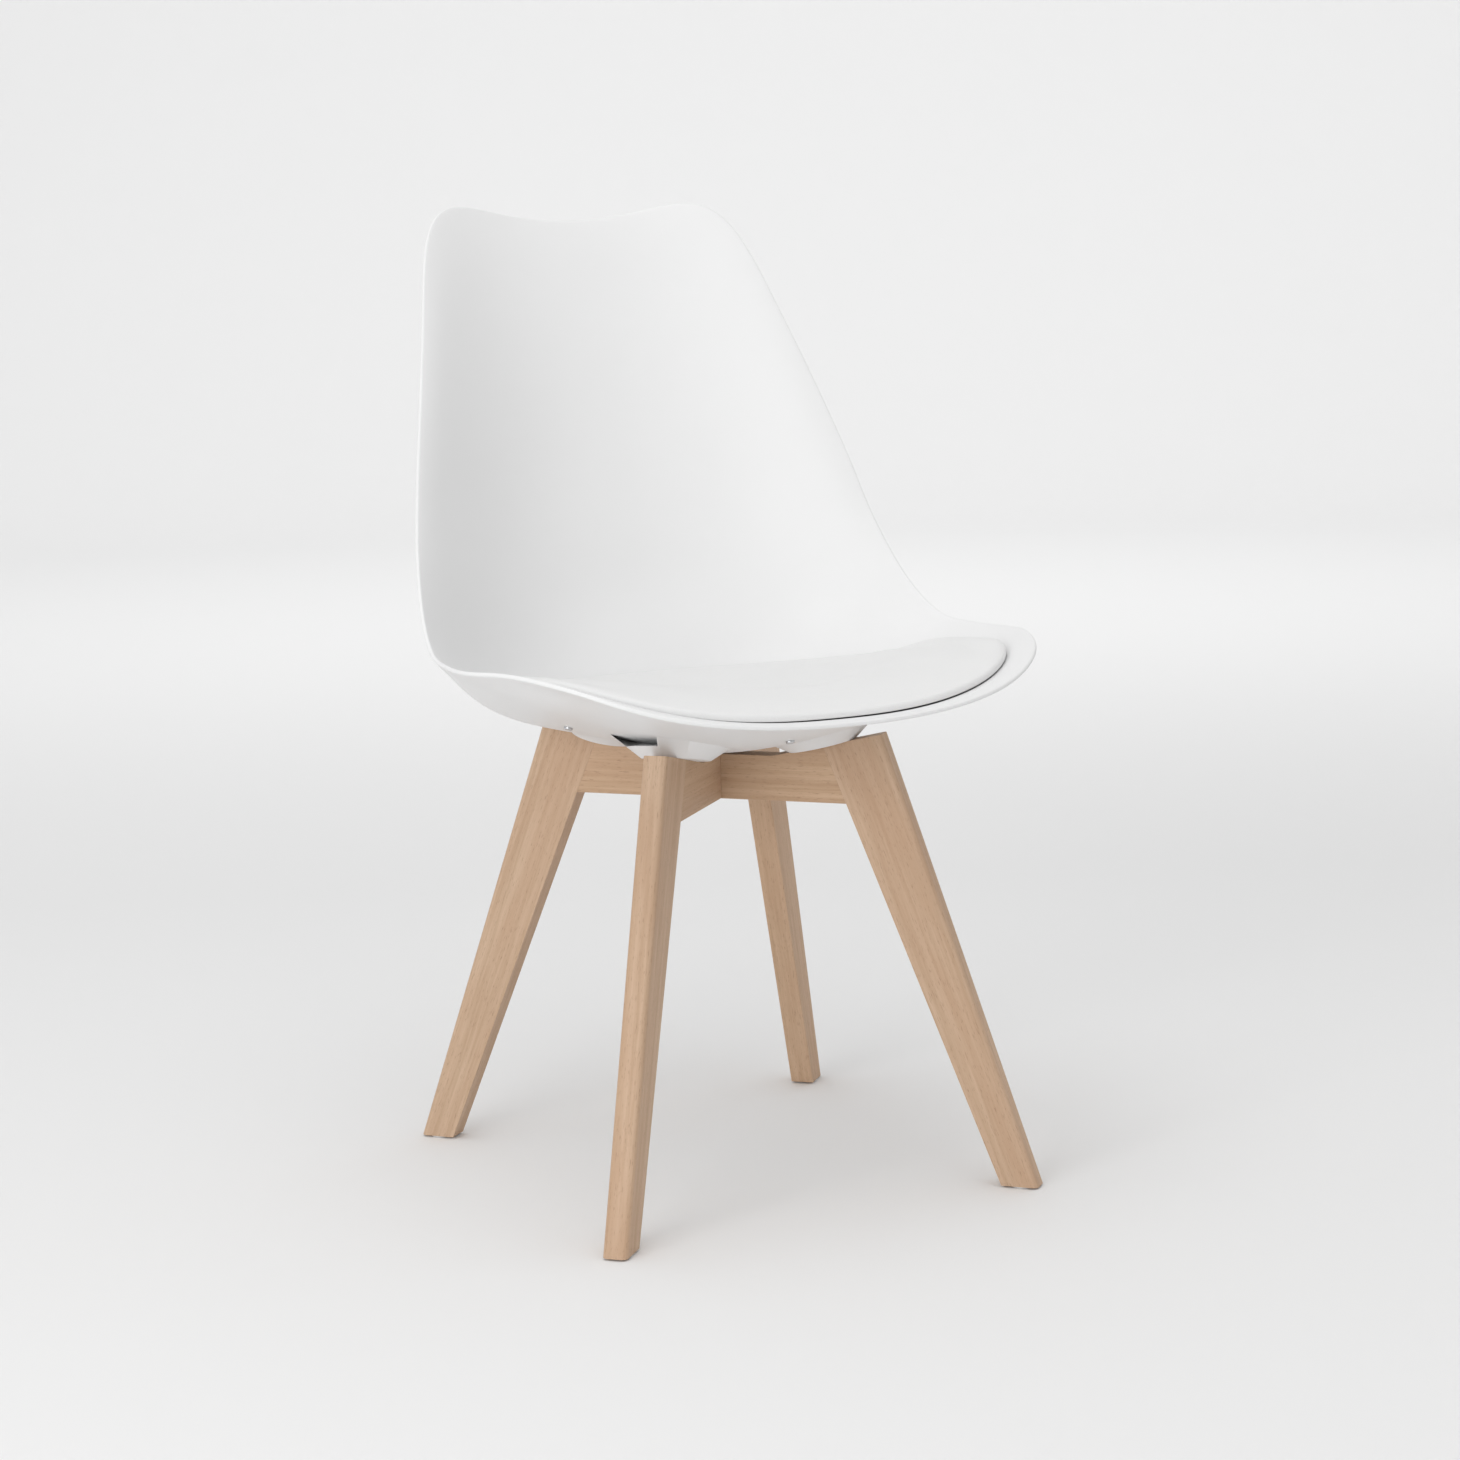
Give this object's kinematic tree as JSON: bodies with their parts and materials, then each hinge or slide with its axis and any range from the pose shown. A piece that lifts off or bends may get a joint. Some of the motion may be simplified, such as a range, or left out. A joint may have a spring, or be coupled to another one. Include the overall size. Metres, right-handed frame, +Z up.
{
  "type": "dining chair",
  "caption": "Dining chair with a moulded bucket seat shell, a fitted seat pad and splayed wooden legs on a crossed rail frame.",
  "frame": {"origin": "on the floor, under the middle of the overall length and width", "axes": "+Z up; the sitter faces -Y; +X is the sitter's left"},
  "size_m": [0.5062, 0.5396, 0.8294],
  "materials": {
    "shell_plastic": "satin, fine moulded texture",
    "pad_leather": "matt synthetic leather with fine grain",
    "pad_foam": "open-cell foam",
    "pad_board_plastic": "plain",
    "beech": "clear matt lacquer",
    "beech_dowel": "fluted, unfinished",
    "zinc_steel": "zinc plated",
    "black_steel": "black oxide",
    "glide_plastic": "plain"
  },
  "bodies": {
    "root": {"seat_shell": "shell_plastic", "pad_board": "pad_board_plastic", "pad_foam": "pad_foam", "pad_cover": "pad_leather", "pad_screws": "zinc_steel", "flanged_nuts": "zinc_steel", "rail_front_left_to_rear_right": "beech", "rail_front_right_to_rear_left": "beech", "rail_crossing_screw": "zinc_steel", "frame_bolts": "black_steel", "frame_washers": "zinc_steel", "frame_spring_washers": "zinc_steel", "front_left_leg": "beech", "front_left_leg_dowels": "beech_dowel", "front_left_glide": "glide_plastic", "front_right_leg": "beech", "front_right_leg_dowels": "beech_dowel", "front_right_glide": "glide_plastic", "rear_left_leg": "beech", "rear_left_leg_dowels": "beech_dowel", "rear_left_glide": "glide_plastic", "rear_right_leg": "beech", "rear_right_leg_dowels": "beech_dowel", "rear_right_glide": "glide_plastic"}
  },
  "joints": []
}
